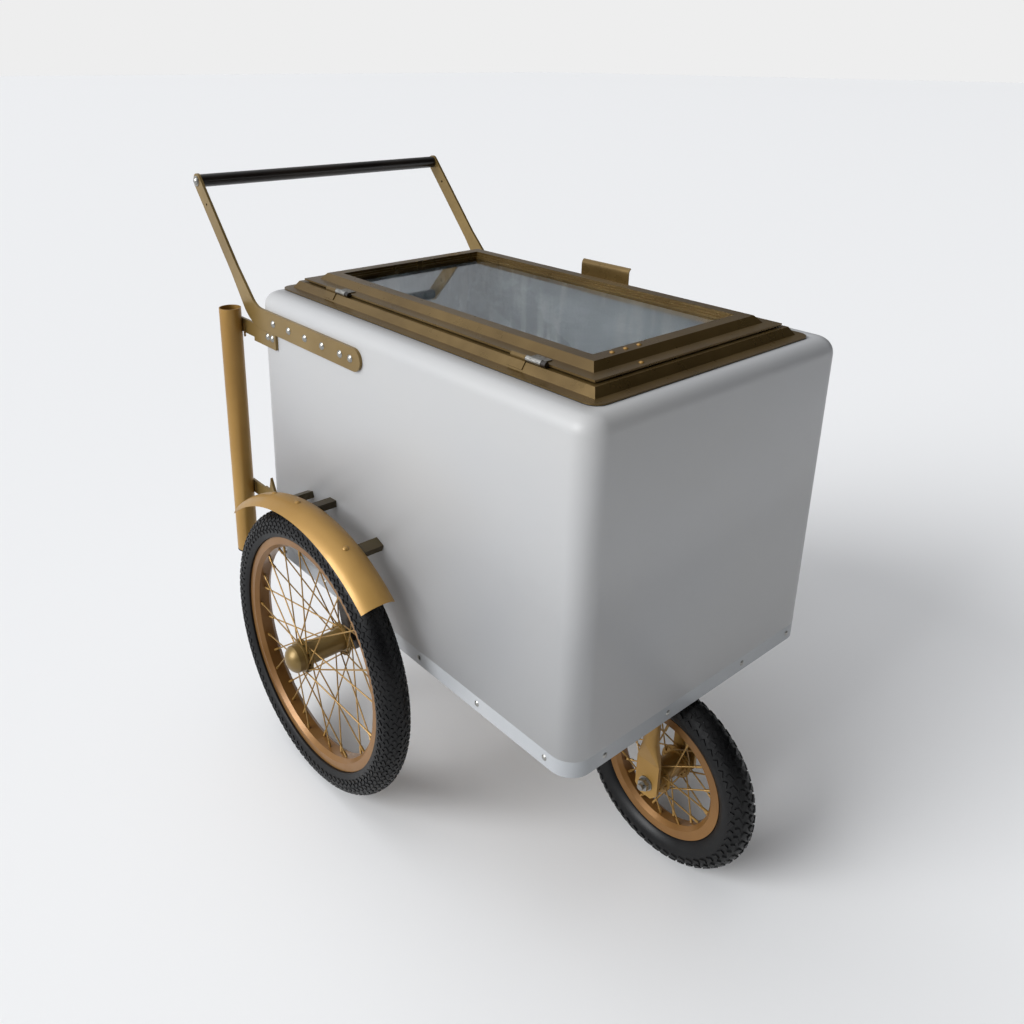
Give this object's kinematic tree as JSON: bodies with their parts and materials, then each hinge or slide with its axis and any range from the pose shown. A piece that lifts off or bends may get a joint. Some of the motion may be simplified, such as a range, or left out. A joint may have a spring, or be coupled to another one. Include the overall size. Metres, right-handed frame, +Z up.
{
  "type": "push vending cart",
  "caption": "Three-wheeled push cart with an insulated white box, a hinged glass lid, a push handle, two spoked rear wheels with fenders and a steered front wheel.",
  "frame": {"origin": "on the ground under the middle of the bounding box", "axes": "+Z up, -Y is the front (the steered wheel), +Y is the handle end, -X is the side with the umbrella socket and the lid hinges"},
  "size_m": [0.8, 1.1319, 1.021],
  "materials": {
    "gold_paint": "satin metallic paint",
    "white_paint": "gloss gel coat",
    "liner_metal": "satin, under a clear protective film",
    "board": "sealed plywood",
    "foam": "foamed",
    "grey_primer": "primed",
    "band_metal": "satin",
    "bright_steel": "zinc plated",
    "black_paint": "gloss black",
    "black_rubber": "matt",
    "clear_glass": "clear float",
    "tyre_rubber": "ribbed"
  },
  "bodies": {
    "chassis": {"body_shell": "white_paint", "inner_liner": "liner_metal", "insulation": "foam", "floor_panel": "board", "skirt_band": "band_metal", "skirt_rivets": "bright_steel", "chassis_frame": "black_paint", "cross_tubes": "black_paint", "base_seal": "black_rubber", "base_frame": "gold_paint", "lid_gasket": "black_rubber", "hinge_base_leaves": "gold_paint", "hinge_pins": "black_paint", "handle_strap_right": "gold_paint", "handle_strap_left": "gold_paint", "backing_strips": "grey_primer", "strap_bolts": "bright_steel", "handle_bar": "black_paint", "handle_bolts": "bright_steel", "umbrella_tube": "gold_paint", "umbrella_tube_plug": "black_rubber", "umbrella_brackets": "gold_paint", "drop_plates": "black_paint", "axle_beam": "black_paint", "rear_axle": "bright_steel", "axle_spacers": "black_paint", "axle_nuts": "bright_steel", "fender_right": "gold_paint", "fender_left": "gold_paint", "fender_brackets": "black_paint", "fender_bolts": "bright_steel", "steering_head": "grey_primer", "steering_bushes": "bright_steel"},
    "lid": {"lid_frame": "gold_paint", "glass_pane": "clear_glass", "glazing_bead": "black_rubber", "lid_screws": "bright_steel", "hinge_lid_leaves": "bright_steel", "pull_tab": "gold_paint"},
    "rear_wheel_right": {"hub_right": "gold_paint", "hub_bearings_right": "bright_steel", "hub_cap_right": "gold_paint", "rim_right": "gold_paint", "spokes_right": "gold_paint", "tyre_right": "tyre_rubber"},
    "rear_wheel_left": {"hub_left": "gold_paint", "hub_bearings_left": "bright_steel", "hub_cap_left": "gold_paint", "rim_left": "gold_paint", "spokes_left": "gold_paint", "tyre_left": "tyre_rubber"},
    "fork": {"fork": "gold_paint", "stem_nut": "bright_steel", "front_axle": "bright_steel", "front_axle_nuts": "bright_steel"},
    "front_wheel": {"front_hub": "gold_paint", "front_bearings": "bright_steel", "front_rim": "gold_paint", "front_spokes": "gold_paint", "front_tyre": "tyre_rubber"}
  },
  "joints": [
    {"name": "lid_hinge", "type": "hinge", "parent": "chassis", "child": "lid", "pos_m": [-0.2108, 0, 0.8558], "axis": [0, -1, 0], "range_deg": [0, 100]},
    {"name": "rear_wheel_right_spin", "type": "hinge", "parent": "chassis", "child": "rear_wheel_right", "pos_m": [-0.34, 0.091, 0.254], "axis": [1, 0, 0], "continuous": true},
    {"name": "rear_wheel_left_spin", "type": "hinge", "parent": "chassis", "child": "rear_wheel_left", "pos_m": [0.34, 0.091, 0.254], "axis": [1, 0, 0], "continuous": true},
    {"name": "steering", "type": "hinge", "parent": "chassis", "child": "fork", "pos_m": [0, -0.408, 0.33], "axis": [0, 0, 1], "range_deg": [-25, 25]},
    {"name": "front_wheel_spin", "type": "hinge", "parent": "fork", "child": "front_wheel", "pos_m": [0, -0.408, 0.157], "axis": [1, 0, 0], "continuous": true}
  ]
}
